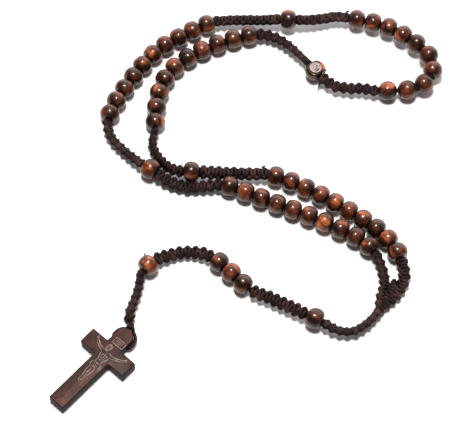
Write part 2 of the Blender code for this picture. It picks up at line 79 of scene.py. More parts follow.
# How much wider than plain some of the loop's bars are, by their number.
BAR_WIDTHS = {2: 1.12, 4: 1.14, 5: 1.14, 9: 1.26}
END_BAR_WIDTH = 0.98
END_BAR_TIP = 0.42
WEB_OVERLAP = 1.2
HINGE_BEND = 5.0
HINGE_GAP = 0.15
SMOOTH_STEPS = 24

MEDAL_BEAD_LENGTH = 7.1
MEDAL_SEAT = 2.7
MEDAL_SEGMENTS = 48
CROSS_CENTRE = Vector((-59.5, -70.2, 0.0))
CROSS_ANGLE = math.radians(47.5)
CROSS_THICKNESS = 4.8
CROSS_ARM_HALF = 3.85
CROSS_SPAN = 23.7
CROSS_TOP = 9.4
CROSS_LOWER = 26.1
CROSS_HOLE = Vector((0.0, 7.25, 2.4))
CROSS_HOLE_RADIUS = 1.0
STROKE_STEP = 0.35
RING_RADIUS = 0.7
RING_KNOT_CENTRE = Vector((-50.7, -57.7, 2.5))
RING_KNOT_STRAND = 0.62


# ---------------------------------------------------------------- the route, as in the frame
def bar(start_roll, end_roll, *points):
    return {"kind": "bar", "roll": (start_roll, end_roll), "points": points}


def beads(name, count, kind, *points):
    return {"kind": kind, "name": name, "count": count, "points": points}


LOOP_START = (52.8, -43.6, 3.1)
LOOP_RUNS = (
    bar(40, 50, (53.9, -39.5, 3.2), (53.5, -34.0, 3.2), (52.3, -29.0, 3.5), (50.6, -24.5, 4.2)),
    beads(
        "hail_mary_1", 10, "hail_mary",
        (39.6, -15.7), (27.1, -9.3), (13.6, -3.4), (0.1, 2.1), (-13.5, 7.5),
    ),
    bar(10, 10, (-20.6, 7.0, 3.2), (-28.5, 7.0, 2.9), (-35.4, 9.2, 3.3), (-40.9, 12.7, 4.3)),
    beads("our_father_1", 1, "our_father", (-46.8, 16.9)),
    bar(38, 60, (-52.2, 21.7, 3.4), (-57.0, 26.5, 3.1), (-61.4, 32.2, 3.4), (-62.7, 39.0, 4.1)),
    beads(
        "decade_2", 10, "joined",
        (-57.6, 51.7), (-50.9, 63.0), (-42.6, 74.2), (-30.6, 82.5), (-17.0, 89.6),
    ),
    bar(0, 0, (-9.3, 90.5, 4.2), (-2.0, 90.3, 4.5), (5.5, 90.2, 5.0), (12.3, 90.0, 5.8)),
    beads("our_father_2", 1, "our_father", (19.5, 89.4, 6.3)),
    bar(0, 0, (26.0, 89.7, 5.6), (32.0, 91.0, 5.0), (37.5, 92.0, 4.9), (42.6, 91.1, 5.0)),
    beads(
        "hail_mary_3", 5, "hail_mary",
        (56.6, 87.7, 5.2), (63.1, 84.6, 5.4), (68.8, 79.8, 5.6), (74.9, 75.0, 5.8),
    ),
    beads(
        "hail_mary_3", 5, "hail_mary",
        (79.0, 68.3, 5.8), (77.6, 59.2, 5.4), (69.8, 53.9, 4.9), (61.5, 53.8, 4.5), (54.2, 53.8),
    ),
    bar(15, 0, (48.0, 55.0, 4.2), (41.5, 55.2, 4.1), (35.0, 56.6, 4.4), (29.8, 60.9, 4.7)),
    beads("medal_bead", 1, "medal_bead", (25.0, 67.0)),
    bar(80, 0, (20.6, 72.5, 4.0), (15.3, 78.0, 3.9), (9.0, 81.9, 4.0), (2.2, 83.0, 4.2)),
    beads(
        "hail_mary_4", 10, "hail_mary",
        (-12.5, 79.0), (-26.0, 72.6), (-37.3, 62.2), (-41.6, 48.4), (-42.2, 34.5),
    ),
    bar(75, 55, (-43.2, 28.0, 3.4), (-41.2, 22.0, 3.1), (-36.3, 16.3, 3.3), (-29.9, 13.7, 4.2)),
    beads("our_father_3", 1, "our_father", (-22.7, 13.4)),
    bar(35, 0, (-13.0, 12.9, 4.0), (-2.4, 12.7, 4.1), (6.2, 12.5, 4.3)),
    beads(
        "hail_mary_5", 10, "hail_mary",
        (20.7, 6.5), (32.6, -0.2), (43.2, -7.4), (53.6, -15.5), (61.1, -27.7),
    ),
    bar(5, 20, (62.1, -32.6, 3.4), (61.8, -37.3, 3.0), (60.0, -41.2, 3.0), (57.6, -43.7, 3.1)),
)
# The web: a short knotted length between the loop's two ends, where they close up.
WEB_POINTS = (
    (58.0, -36.8, 3.0), (57.6, -39.3, 3.4), (56.2, -42.6, 3.6), (53.8, -46.6, 3.5), (51.3, -50.4, 3.3),
)
PENDANT_START = (50.2, -52.2, 3.1)
PENDANT_RUNS = (
    bar(80, 75, (45.6, -57.0, 3.2), (39.9, -60.3, 3.2), (33.9, -59.9, 3.5), (28.0, -56.7, 4.2)),
    beads("pendant_our_father_1", 1, "our_father", (21.4, -53.4)),
    bar(0, 0, (13.7, -49.2, 4.1), (5.7, -45.2, 4.1), (-2.1, -41.7, 4.2)),
    beads("pendant_hail_mary", 3, "hail_mary", (-9.4, -34.2), (-17.0, -27.0)),
    bar(0, 0, (-22.4, -24.6, 3.3), (-29.0, -24.0, 2.9), (-35.5, -25.7, 3.3), (-41.2, -28.4, 4.3)),
    beads("pendant_our_father_2", 1, "our_father", (-46.5, -33.3)),
    bar(80, 75, (-47.4, -38.7, 3.5), (-49.0, -45.3, 3.1), (-51.0, -51.3, 3.0), (-51.1, -55.8, 2.6)),
)


class Route:
    """A smooth curve through the points of a cord's runs, in millimetres along it."""

    def __init__(self, points, marks=()):
        self.marks = marks
        self.samples = self.through([Vector(p) for p in points])
        self.lengths = [0.0]
        for before, after in zip(self.samples, self.samples[1:]):
            self.lengths.append(self.lengths[-1] + (after - before).length)
        self.total = self.lengths[-1]

    @classmethod
    def of_runs(cls, start, runs):
        points = [Vector(start)]
        marks = [0]
        for run in runs:
            for point in run["points"]:
                height = point[2] if len(point) == 3 else RADII[run["kind"]]
                points.append(Vector((point[0], point[1], height)))
            marks.append(len(points) - 1)
        return cls(points, marks)

    @staticmethod
    def through(points):
        spans = [(b - a).length for a, b in zip(points, points[1:])]
        tangents = []
        for i in range(len(points)):
            before = (points[i] - points[i - 1]) / spans[i - 1] if i else None
            after = (points[i + 1] - points[i]) / spans[i] if i < len(spans) else None
            if before is None or after is None:
                tangents.append(before or after)
            else:
                weight = spans[i - 1] / (spans[i - 1] + spans[i])
                tangents.append(before.lerp(after, weight).normalized())
        samples = [points[0]]
        for i, span in enumerate(spans):
            first = points[i] + tangents[i] * span / 3
            second = points[i + 1] - tangents[i + 1] * span / 3
            corners = (points[i], first, second, points[i + 1])
            curve = geometry.interpolate_bezier(*corners, SMOOTH_STEPS + 1)
            samples.extend(curve[1:])
        return samples

    def run_ends(self, run):
        return tuple(self.lengths[self.marks[run + end] * SMOOTH_STEPS] for end in (0, 1))

    def at(self, length):
        """The point at a length along the route, carried on straight past its ends."""
        if length <= 0:
            return self.samples[0] + (self.samples[1] - self.samples[0]).normalized() * length
        if length >= self.total:
            step = (self.samples[-1] - self.samples[-2]).normalized()
            return self.samples[-1] + step * (length - self.total)
        low, high = 0, len(self.lengths) - 1
        while high - low > 1:
            middle = (low + high) // 2
            if self.lengths[middle] <= length:
                low = middle
            else:
                high = middle
        share = (length - self.lengths[low]) / (self.lengths[high] - self.lengths[low])
        return self.samples[low].lerp(self.samples[high], share)

    def tangent(self, length):
        return (self.at(length + 0.4) - self.at(length - 0.4)).normalized()

    def stations(self, run, count, height):
        start, end = self.run_ends(run)
        found = [self.at(start + (end - start) * i / count) for i in range(count + 1)]
        return [Vector((point.x, point.y, max(point.z, height))) for point in found]


# ---------------------------------------------------------------- mesh helpers
def new_object(name, mesh, material, matrix=None):
    obj = bpy.data.objects.new(name, mesh)
    bpy.context.scene.collection.objects.link(obj)
    if matrix is not None:
        obj.matrix_world = matrix
    mesh.materials.append(material)
    return obj


def mesh_from(name, vertices, faces):
    mesh = bpy.data.meshes.new(name)
    mesh.from_pydata([tuple(v) for v in vertices], [], faces)
    mesh.update()
    mesh.shade_smooth()
    return mesh


def set_attribute(mesh, name, kind, values):
    layer = mesh.attributes.new(name, kind, "POINT")
    key = "value" if kind == "FLOAT" else "vector"
    flat = values if kind == "FLOAT" else [x for v in values for x in v]
    layer.data.foreach_set(key, flat)


def tube(points, radii, sides=8, flatten=1.0, normals=None):
    """Rings along points: vertices, faces, and each vertex's place round and along."""
    vertices, faces, strand = [], [], []
    count = len(points)
    tangents = []
    for i in range(count):
        before = points[max(i - 1, 0)]
        after = points[min(i + 1, count - 1)]
        tangents.append((after - before).normalized())
    start = Vector((0, 0, 1)) if abs(tangents[0].z) < 0.9 else Vector((1, 0, 0))
    normal = (start - tangents[0] * start.dot(tangents[0])).normalized()
    along = 0.0
    for i in range(count):
        if i:
            along += (points[i] - points[i - 1]).length
        wanted = normals[i] if normals else normal
        normal = (wanted - tangents[i] * wanted.dot(tangents[i])).normalized()
        side = tangents[i].cross(normal)
        radius = radii[i] if isinstance(radii, (list, tuple)) else radii
        for k in range(sides):
            turn = math.tau * k / sides
            offset = side * math.cos(turn) * radius + normal * math.sin(turn) * radius * flatten
            vertices.append(points[i] + offset)
            strand.append((k / sides, along))
        if i:
            a, b = (i - 1) * sides, i * sides
            for k in range(sides):
                n = (k + 1) % sides
                faces.append((a + k, a + n, b + n, b + k))
    faces.append(tuple(reversed(range(sides))))
    last = (count - 1) * sides
    faces.append(tuple(last + k for k in range(sides)))
    return vertices, faces, strand


def between(values, share):
    """The value at a share of the way through a list of evenly spaced values."""
    place = share * (len(values) - 1)
    low = min(int(place), len(values) - 2)
    return values[low] + (values[low + 1] - values[low]) * (place - low)


def tapered_tube(route, count, widths, sides, flatten=1.0, normal=None):
    """A tube along a whole route, as wide at each share of it as a list of widths says."""
    line = [route.at(route.total * i / count) for i in range(count + 1)]
    radii = [between(widths, i / count) for i in range(count + 1)]
    return tube(line, radii, sides, flatten, [normal] * len(line) if normal else None)


def length_of(points):
    return sum((b - a).length for a, b in zip(points, points[1:]))


class Bundle:
    """Tubes gathered into one mesh, with each vertex's place on its strand."""

    def __init__(self):
        self.vertices, self.faces, self.strand = [], [], []

    def add(self, made, seed=0.0):
        vertices, faces, strand = made
        first = len(self.vertices)
        self.vertices += vertices
        self.faces += [tuple(first + i for i in face) for face in faces]
        self.strand += [(around, along, seed) for around, along in strand]

    def mesh(self, name):
        mesh = mesh_from(name, [v * MM for v in self.vertices], self.faces)
        set_attribute(mesh, "strand", "FLOAT_VECTOR", self.strand)
        return mesh


# ---------------------------------------------------------------- materials
def new_material(name):
    material = bpy.data.materials.new(name)
    material.use_nodes = True
    tree = material.node_tree
    return material, tree, tree.nodes["Principled BSDF"]


def set_inputs(tree, made, values):
    """Gives inputs, by name or number, a fixed value or a link from a socket."""
    for key, value in values.items():
        if isinstance(value, bpy.types.NodeSocket):
            tree.links.new(value, made.inputs[key])
        else:
            made.inputs[key].default_value = value


def node(tree, kind, values=None, **settings):
    made = tree.nodes.new(kind)
    for key, setting in settings.items():
        setattr(made, key, setting)
    set_inputs(tree, made, values or {})
    return made


def ramp(tree, source, *stops):
    """A colour worked out from a value, by stops of (value, colour)."""
    made = node(tree, "ShaderNodeValToRGB", {"Fac": source})
    elements = made.color_ramp.elements
    while len(elements) > 1:
        elements.remove(elements[-1])
    elements[0].position = stops[0][0]
    elements[0].color = stops[0][1]
    for place, colour in stops[1:]:
        elements.new(place).color = colour
    return made.outputs["Color"]


def grey(value):
    return (value, value, value, 1.0)


def mix(tree, factor, first, second, blend="MIX"):
    values = {0: factor, 6: first, 7: second}
    return node(tree, "ShaderNodeMix", values, data_type="RGBA", blend_type=blend).outputs[2]


def maths(tree, operation, *terms):
    return node(tree, "ShaderNodeMath", dict(enumerate(terms)), operation=operation).outputs[0]


def noise_of(tree, vector, scale, detail=3.0, roughness=0.5, distortion=0.0):
    return node(tree, "ShaderNodeTexNoise", {
        "Vector": vector,
        "Scale": scale,
        "Detail": detail,
        "Roughness": roughness,
        "Distortion": distortion,
    }).outputs["Fac"]


def own_place(tree):
    """The point in the object's own frame, in metres."""
    return tree.nodes.new("ShaderNodeTexCoord").outputs["Object"]


def attribute(tree, name, output):
    return node(tree, "ShaderNodeAttribute", attribute_name=name).outputs[output]


def axes_of(tree, vector):
    return node(tree, "ShaderNodeSeparateXYZ", {0: vector}).outputs


def mapped(tree, vector, scale):
    return node(tree, "ShaderNodeMapping", {"Vector": vector, "Scale": scale}).outputs["Vector"]


def bump(tree, shader, height, distance, strength):
    made = node(tree, "ShaderNodeBump", {"Height": height, "Distance": distance, "Strength": strength})
    set_inputs(tree, shader, {"Normal": made.outputs["Normal"]})


def bead_material():
    """Varnished dark wood: orange and red-brown patches, near black round both bores."""
    material, tree, shader = new_material("bead_varnished_wood")
    bead_place = own_place(tree)
    seed = attribute(tree, "bead_seed", "Vector")
    place = node(tree, "ShaderNodeVectorMath", {0: bead_place, 1: seed}, operation="ADD").outputs[0]

    patches = noise_of(tree, mapped(tree, place, (1.0, 1.0, 0.55)), 210.0, 3.0, 0.55, 0.6)
    colour = ramp(
        tree, patches,
        (0.34, (0.005, 0.0012, 0.0005, 1)),
        (0.43, (0.019, 0.0040, 0.0014, 1)),
        (0.52, (0.066, 0.0138, 0.0045, 1)),
        (0.61, (0.205, 0.0450, 0.0145, 1)),
        (0.72, (0.460, 0.1280, 0.0450, 1)),
    )
    grain = noise_of(tree, mapped(tree, place, (1.0, 1.0, 0.12)), 1500.0, 4.0, 0.6)
    streaks = ramp(tree, grain, (0.35, grey(0.55)), (0.6, grey(1.05)))
    colour = mix(tree, 0.7, colour, streaks, "MULTIPLY")

    height = maths(tree, "ABSOLUTE", axes_of(tree, bead_place)["Z"])
    wobble = maths(tree, "MULTIPLY", noise_of(tree, place, 420.0, 2.0), 0.0012)
    dark = node(tree, "ShaderNodeMapRange", {
        "Value": maths(tree, "ADD", height, wobble),
        "From Min": 0.0024,
        "From Max": 0.0042,
    }, interpolation_type="SMOOTHSTEP").outputs["Result"]
    colour = mix(tree, dark, colour, (0.010, 0.0042, 0.0040, 1))
    tone = attribute(tree, "bead_tone", "Fac")
    colour = node(tree, "ShaderNodeHueSaturation", {"Value": tone, "Color": colour}).outputs["Color"]

    worn = noise_of(tree, place, 900.0, 4.0, 0.6)
    set_inputs(tree, shader, {
        "Base Color": colour,
        "Roughness": ramp(tree, worn, (0.3, grey(0.34)), (0.75, grey(0.52))),
        "Specular IOR Level": 0.34,
        "Specular Tint": (1.0, 0.66, 0.50, 1),
        "Coat Weight": 0.44,
        "Coat Roughness": 0.10,
        "Coat IOR": 1.5,
    })
    bump(tree, shader, grain, 0.00004, 0.35)
    return material


def cord_material():
    """Dark brown synthetic cord with a fine twist, with painted shade darkening it where strands meet.
    """
    material, tree, shader = new_material("cord_dark_fibre")
    strand = axes_of(tree, attribute(tree, "strand", "Vector"))
    twist = maths(tree, "ADD", maths(tree, "MULTIPLY", strand["X"], 5.0),
                  maths(tree, "MULTIPLY", strand["Y"], 1.9))
    ply = maths(tree, "SINE", maths(tree, "MULTIPLY", twist, math.tau))
    place = own_place(tree)
    fibres = noise_of(tree, place, 2600.0, 4.0, 0.7)
    broad = noise_of(tree, place, 260.0, 3.0, 0.6)
    colour = ramp(
        tree, broad,
        (0.30, (0.005, 0.0018, 0.0016, 1)),
        (0.50, (0.0100, 0.0043, 0.0038, 1)),
        (0.72, (0.038, 0.0165, 0.0140, 1)),
    )
    lines = maths(tree, "ADD", maths(tree, "MULTIPLY", ply, 0.18), fibres)
    shade = ramp(tree, lines, (0.30, grey(0.28)), (0.75, grey(1.8)))
    colour = mix(tree, 0.8, colour, shade, "MULTIPLY")
    # Painted shade: ambient occlusion darkens the base colour in the crevices where strands meet.
    crevice_occlusion = node(tree, "ShaderNodeAmbientOcclusion", {"Distance": 0.003}, samples=8).outputs["AO"]
    painted_crevice_shade = ramp(tree, crevice_occlusion, (0.30, grey(0.03)), (0.60, grey(0.55)), (0.85, grey(1.75)))
    set_inputs(tree, shader, {
        "Base Color": mix(tree, 1.0, colour, painted_crevice_shade, "MULTIPLY"),
        "Roughness": ramp(tree, fibres, (0.2, grey(0.40)), (0.8, grey(0.70))),
        "Specular IOR Level": 0.12,
        "Sheen Weight": 0.04,
        "Sheen Roughness": 0.35,
        "Sheen Tint": (0.55, 0.42, 0.40, 1),
    })
    height = maths(tree, "ADD", maths(tree, "MULTIPLY", ply, 0.5), maths(tree, "MULTIPLY", fibres, 0.8))
    bump(tree, shader, height, 0.00009, 0.6)
    return material


def cross_material():
    """Satin varnished wood, with its grain along the upright and painted shade on the sides that do not
    face up.
    """
    material, tree, shader = new_material("cross_satin_wood")
    place = own_place(tree)
    broad = noise_of(tree, mapped(tree, place, (1.0, 0.45, 1.0)), 210.0, 3.0, 0.55, 0.8)
    colour = ramp(
        tree, broad,
        (0.30, (0.018, 0.0090, 0.0062, 1)),
        (0.46, (0.038, 0.0150, 0.0105, 1)),
        (0.60, (0.066, 0.0215, 0.0140, 1)),
        (0.76, (0.135, 0.0430, 0.0210, 1)),
    )
    grain = noise_of(tree, mapped(tree, place, (1.0, 0.06, 1.0)), 1900.0, 5.0, 0.65)
    pores = ramp(tree, grain, (0.32, grey(0.45)), (0.55, grey(1.05)))
    colour = mix(tree, 0.75, colour, pores, "MULTIPLY")
    # Painted shade: where the surface does not face up, on the board's sides and eased edges, the colour
    # is mixed to near black.
    normal = tree.nodes.new("ShaderNodeNewGeometry").outputs["Normal"]
    painted_side_shade_mask = node(tree, "ShaderNodeMapRange", {
        "Value": maths(tree, "ABSOLUTE", axes_of(tree, normal)["Z"]),
        "From Min": 0.55,
        "From Max": 0.95,
    }).outputs["Result"]
    set_inputs(tree, shader, {
        "Base Color": mix(tree, painted_side_shade_mask, (0.014, 0.0060, 0.0055, 1), colour),
        "Roughness": ramp(tree, grain, (0.3, grey(0.62)), (0.7, grey(0.50))),
        "Specular IOR Level": 0.12,
        "Coat Weight": 0.03,
        "Coat Roughness": 0.3,
    })
    bump(tree, shader, grain, 0.00005, 0.4)
    return material


def engraving_material():
    """Bare pale wood where the varnish is cut away."""
    material, tree, shader = new_material("engraved_bare_wood")
    worn = noise_of(tree, own_place(tree), 1400.0, 3.0, 0.6)
    colour = ramp(
        tree, worn,
        (0.32, (0.070, 0.042, 0.032, 1)),
        (0.48, (0.210, 0.150, 0.120, 1)),
        (0.68, (0.400, 0.320, 0.265, 1)),
    )
    set_inputs(tree, shader, {"Base Color": colour, "Roughness": 0.75})
    bump(tree, shader, worn, 0.00004, 0.5)
    return material


def medal_material():
    """Pale pinkish silver with fine brushing."""
    material, tree, shader = new_material("medal_pale_metal")
    brushed = noise_of(tree, mapped(tree, own_place(tree), (0.15, 1.0, 1.0)), 3000.0, 3.0, 0.6)
    set_inputs(tree, shader, {
        "Base Color": ramp(tree, brushed, (0.3, (0.27, 0.21, 0.20, 1)), (0.7, (0.41, 0.345, 0.33, 1))),
        "Roughness": ramp(tree, brushed, (0.3, grey(0.28)), (0.7, grey(0.45))),
        "Metallic": 0.15,
        "Specular IOR Level": 0.3,
    })
    bump(tree, shader, brushed, 0.00002, 0.4)
    return material


def plain_material(name, colour, roughness, metallic=0.0):
    """One colour, lightly mottled, so that no surface is perfectly flat in tone."""
    material, tree, shader = new_material(name)
    mottle = noise_of(tree, own_place(tree), 900.0, 3.0, 0.6)
    low = tuple(c * 0.75 for c in colour) + (1.0,)
    high = tuple(min(c * 1.25, 1.0) for c in colour) + (1.0,)
    set_inputs(tree, shader, {
        "Base Color": ramp(tree, mottle, (0.3, low), (0.7, high)),
        "Roughness": roughness,
        "Metallic": metallic,
    })
    bump(tree, shader, mottle, 0.00003, 0.4)
    return material


BEAD_WOOD = bead_material()
CORD = cord_material()
CROSS_WOOD = cross_material()
ENGRAVED = engraving_material()
MEDAL = medal_material()
MELTED = plain_material("melted_cord_end", (0.012, 0.008, 0.008), 0.32)
MEDAL_RIM = plain_material("medal_dark_rim", (0.030, 0.010, 0.006), 0.6)
MEDAL_MARKS = plain_material("medal_dark_relief", (0.045, 0.018, 0.016), 0.55, 0.1)

# ---------------------------------------------------------------- camera, floor and light
scene = bpy.context.scene
ELEVATION = math.radians(62)
LOOK_AT = Vector((-0.0110, -0.0037, 0.0))
DISTANCE = 0.845
FLOOR_DROP = 0.00002


def make_camera():
    data = bpy.data.cameras.new("camera")
    data.sensor_width = 36.0
    data.lens = 158.2
    data.clip_start = 0.05
    data.clip_end = 10.0
    camera = bpy.data.objects.new("camera", data)
    scene.collection.objects.link(camera)
    camera.location = LOOK_AT + Vector((0, -math.cos(ELEVATION), math.sin(ELEVATION))) * DISTANCE
    camera.rotation_euler = (LOOK_AT - camera.location).to_track_quat("-Z", "Y").to_euler()
    scene.camera = camera
    scene.view_settings.view_transform = "Standard"


def make_floor():
    material, tree, shader = new_material("white_surface")
    tone = noise_of(tree, own_place(tree), 6.0, 2.0)
    set_inputs(tree, shader, {
        "Base Color": ramp(tree, tone, (0.3, (0.90, 0.90, 0.90, 1)), (0.7, (0.93, 0.925, 0.92, 1))),
        "Roughness": 0.22,
        "Specular IOR Level": 0.5,
    })
    bpy.ops.mesh.primitive_plane_add(size=6.0, location=(0, 0, -FLOOR_DROP))
    floor = bpy.context.object
    floor.name = "white_surface"
    floor.data.materials.append(material)


def make_studio():
    """A dim studio, with a bright white backdrop that stands behind the object."""
    world = bpy.data.worlds.new("studio")
    scene.world = world
    world.use_nodes = True
    tree = world.node_tree
    direction = axes_of(tree, tree.nodes.new("ShaderNodeTexCoord").outputs["Generated"])
    behind = maths(tree, "ADD", maths(tree, "MULTIPLY", direction["Y"], 0.96),
                   maths(tree, "MULTIPLY", direction["X"], 0.26))
    glow = ramp(
        tree, behind,
        (0.0, (0.050, 0.045, 0.043, 1)),
        (0.40, (0.085, 0.078, 0.078, 1)),
        (0.62, (0.420, 0.395, 0.420, 1)),
        (0.80, (1.000, 0.950, 0.980, 1)),
    )
    set_inputs(tree, tree.nodes["Background"], {"Color": glow, "Strength": 2.9})


def make_key_light():
    """One disc lamp, high up and a little to the far side, aimed at the frame's origin."""
    data = bpy.data.lights.new("key", "AREA")
    data.shape = "DISK"
    data.size = 0.40
    data.energy = 31.0
    data.color = (1.0, 0.985, 0.96)
    light = bpy.data.objects.new("key", data)
    light.location = (-0.05, 0.16, 1.49)
    light.rotation_euler = (-light.location).to_track_quat("-Z", "Y").to_euler()
    scene.collection.objects.link(light)


make_camera()
make_floor()
make_studio()
make_key_light()


# ---------------------------------------------------------------- beads
def bead_outline(radius, length):
    """The turned outline, from the lip of one bore over the outside to the other."""
    half = length / 2
    outer = []
    for i in range(21):
        # A ball cut flat at both bores, with the edge of each cut rounded over.
        t = math.sin(math.pi / 2 * (i / 10 - 1)) * 0.975
        rounded = math.sqrt(1 - abs(t) ** 15)
        outer.append((max(math.sqrt(radius ** 2 - (t * half) ** 2) * rounded, BORE_LIP), t * half))
    lip = [(1.50, half * 0.995), (1.22, half * 0.97)]
    start = [(r, -z) for r, z in reversed(lip)]
    bore = [(BORE, half * 0.9), (BORE, -half * 0.9)]
    return start + outer + lip + bore


def bead_mesh(name, radius, length, rng, facets=()):
    """A turned bead in its own frame, bore along Z, a little uneven as hand-finished wood is."""
    outline = bead_outline(radius, length)
    count = len(outline)
    vertices = []
    shift = Vector((rng.uniform(-50, 50), rng.uniform(-50, 50), rng.uniform(-50, 50)))
    for k in range(BEAD_SEGMENTS):
        turn = math.tau * k / BEAD_SEGMENTS
        for r, z in outline:
            point = Vector((r * math.cos(turn), r * math.sin(turn), z))
            if r > BEAD_SKIN:
                point *= 1 + noise.noise(point * 0.28 + shift) * 0.025 - 0.004
            for direction, depth in facets:
                over = point.dot(direction) - radius * depth
                if over > 0 and r > BEAD_SKIN:
                    point -= direction * over * FACET_CUT
            vertices.append(point * MM)
    faces = []
    for k in range(BEAD_SEGMENTS):
        n = (k + 1) % BEAD_SEGMENTS
        for i in range(count):
            j = (i + 1) % count
            faces.append((k * count + i, n * count + i, n * count + j, k * count + j))
    mesh = mesh_from(name, vertices, faces)
    seed = (rng.uniform(0, 9), rng.uniform(0, 9), rng.uniform(0, 9))
    set_attribute(mesh, "bead_seed", "FLOAT_VECTOR", [seed] * len(vertices))
    set_attribute(mesh, "bead_tone", "FLOAT", [rng.uniform(0.58, 1.46)] * len(vertices))
    return mesh


def bead_matrix(first, second):
    turn = (second - first).to_track_quat("Z", "Y").to_matrix().to_4x4()
    return Matrix.Translation((first + second) / 2 * MM) @ turn


def make_beads(route, runs):
    numbers = {}
    for i, run in enumerate(runs):
        if run["kind"] == "bar":
            continue
        stations = route.stations(i, run["count"], RADII[run["kind"]])
        for first, second in zip(stations, stations[1:]):
            numbers[run["name"]] = numbers.get(run["name"], 0) + 1
            make_bead(run, numbers[run["name"]], first, second)


def make_bead(run, number, first, second):
    """One bead between two stations, turned at random about its bore, now and then cut flat."""
    name = run["name"]
    node_name = f"{name}_{number:02d}" if run["count"] > 1 else name
    rng = random.Random(f"{name}{number}")
    matrix = bead_matrix(first, second)
    if run["kind"] == "medal_bead":
        make_medal_bead(matrix, rng)
        return
    facets = []
    if rng.random() < FACET_CHANCE:
        turn = rng.uniform(0, math.tau)
        tilt = rng.uniform(-0.3, 0.3)
        direction = Vector((math.cos(turn), math.sin(turn), tilt)).normalized()
        facets.append((direction, rng.uniform(0.91, 0.96)))
    length = min((second - first).length - BEAD_GAP, LONGEST_BEAD)
    mesh = bead_mesh(node_name + "_turned", RADII[run["kind"]], length, rng, facets)
    roll = Matrix.Rotation(rng.uniform(0, math.tau), 4, "Z")
    bead = new_object(node_name + "_turned", mesh, BEAD_WOOD, matrix @ roll)
    if run["kind"] == "joined":
        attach(bead, "loop")
        if number == 1:
            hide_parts("decade_2_beads")
    else:
        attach(bead, node_name)
        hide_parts(node_name)


def make_medal_bead(matrix, rng):
    """The larger bead with a flat seat on its upper side and the medal in its rim."""
    mesh = bead_mesh("medal_bead_turned", RADII["medal_bead"], MEDAL_BEAD_LENGTH, rng)
    worked = bmesh.new()
    worked.from_mesh(mesh)
    flat = (MEDAL_SEAT - 0.2) * MM
    for vertex in worked.verts:
        if vertex.co.y > flat and math.hypot(vertex.co.x, vertex.co.y) > BEAD_SKIN * MM:
            vertex.co.y = flat
    worked.to_mesh(mesh)
    worked.free()
    bead = new_object("medal_bead_turned", mesh, BEAD_WOOD, matrix)
    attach(bead, "medal_bead")
    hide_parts("medal_bead")
    make_medal(matrix.translation)


def turned(name, outline, material, place):
    """A piece of the medal, turned about +Z from (radius, height) points in millimetres."""
    vertices, faces = [], []
    count = len(outline)
    for k in range(MEDAL_SEGMENTS):
        turn = math.tau * k / MEDAL_SEGMENTS
        vertices += [Vector((r * math.cos(turn), r * math.sin(turn), z)) * MM for r, z in outline]
    for k in range(MEDAL_SEGMENTS):
        n = (k + 1) % MEDAL_SEGMENTS
        for i in range(count - 1):
            faces.append((k * count + i, n * count + i, n * count + i + 1, k * count + i + 1))
    mesh = mesh_from(name, vertices, faces)
    cleaned = bmesh.new()
    cleaned.from_mesh(mesh)
    bmesh.ops.remove_doubles(cleaned, verts=cleaned.verts, dist=1e-7)
    bmesh.ops.recalc_face_normals(cleaned, faces=cleaned.faces)
    cleaned.to_mesh(mesh)
    cleaned.free()
    mesh.set_sharp_from_angle(angle=math.radians(40))
    obj = new_object(name, mesh, material, Matrix.Translation(place))
    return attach(obj, "medal_bead")


def make_medal(centre):
    """A dark rim, a pale disc in it, and a plain raised device on the disc."""
    seat = centre + Vector((0, 0, MEDAL_SEAT * MM))
    rim_outline = [(2.62, -0.35), (2.62, 0.06), (2.72, 0.14), (2.92, 0.14), (3.06, 0.02), (3.10, -0.3)]
    disc_outline = [(0.0, -0.03), (2.0, -0.03), (2.60, -0.05), (2.72, -0.3)]
    rim = turned("medal_rim", rim_outline, MEDAL_RIM, seat)
    disc = turned("medal_face", disc_outline, MEDAL, seat)
    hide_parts("medal_disc")
    marks = Bundle()
    tilt = Matrix.Rotation(math.radians(-42), 4, "Z")

    def stroke(points, radii):
        marks.add(tube([tilt @ Vector((x, y, -0.03)) for x, y in points], radii, 6, 0.45))

    stroke([(1.35, -1.65), (1.5, -0.4), (1.35, 0.75)], [0.16, 0.42, 0.20])
    stroke([(0.45, -1.9), (0.6, -0.9), (0.5, 0.2), (0.35, 1.0)], [0.10, 0.24, 0.18, 0.06])
    stroke([(-0.5, 0.2), (-0.2, 0.75), (-0.35, 1.3)], [0.12, 0.32, 0.14])
    stroke([(-0.7, -1.5), (-0.5, -0.9), (-0.6, -0.3)], [0.05, 0.13, 0.06])
    stroke([(-1.7, -0.4), (-1.5, 0.4), (-1.1, 1.0)], [0.05, 0.12, 0.05])
    stroke([(0.2, 1.5), (0.7, 1.75), (1.2, 1.5)], [0.05, 0.12, 0.05])
    mesh = marks.mesh("medal_relief")
    relief = new_object("medal_relief", mesh, MEDAL_MARKS, Matrix.Translation(seat))
    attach(relief, "medal_bead")


# ---------------------------------------------------------------- knotted bars
class BarPath:
    """A length of a route that carries a bar: its turn and its width at each point."""

    def __init__(self, route, start, end, rolls, end_widths, taper):
        self.route, self.start, self.end = route, start, end
        self.rolls, self.end_widths, self.taper = rolls, end_widths, taper
        self.frames = {}

    def narrowing(self, length):
        """How wide the bar is at a point, as a share: 1 but for a tapered end."""
        shares = []
        reaches = (length - self.start, self.end - length)
        for narrow, reach in zip(self.end_widths, reaches):
            t = min(max(reach / self.taper, 0.0), 1.0)
            shares.append(narrow + (1 - narrow) * t * t * (3 - 2 * t))
        return min(shares)

    def frame(self, length):
        """The centre at a point, and which way the bar's width and thickness lie."""
        key = round(length, 3)
        if key not in self.frames:
            tangent = self.route.tangent(length)
            share = min(max((length - self.start) / (self.end - self.start), 0.0), 1.0)
            roll = math.radians(self.rolls[0] + (self.rolls[1] - self.rolls[0]) * share)
            level = Vector((0, 0, 1)).cross(tangent).normalized()
            upward = tangent.cross(level)
            wide = level * math.cos(roll) + upward * math.sin(roll)
            thick = upward * math.cos(roll) - level * math.sin(roll)
            self.frames[key] = (self.route.at(length), wide, thick)
        return self.frames[key]


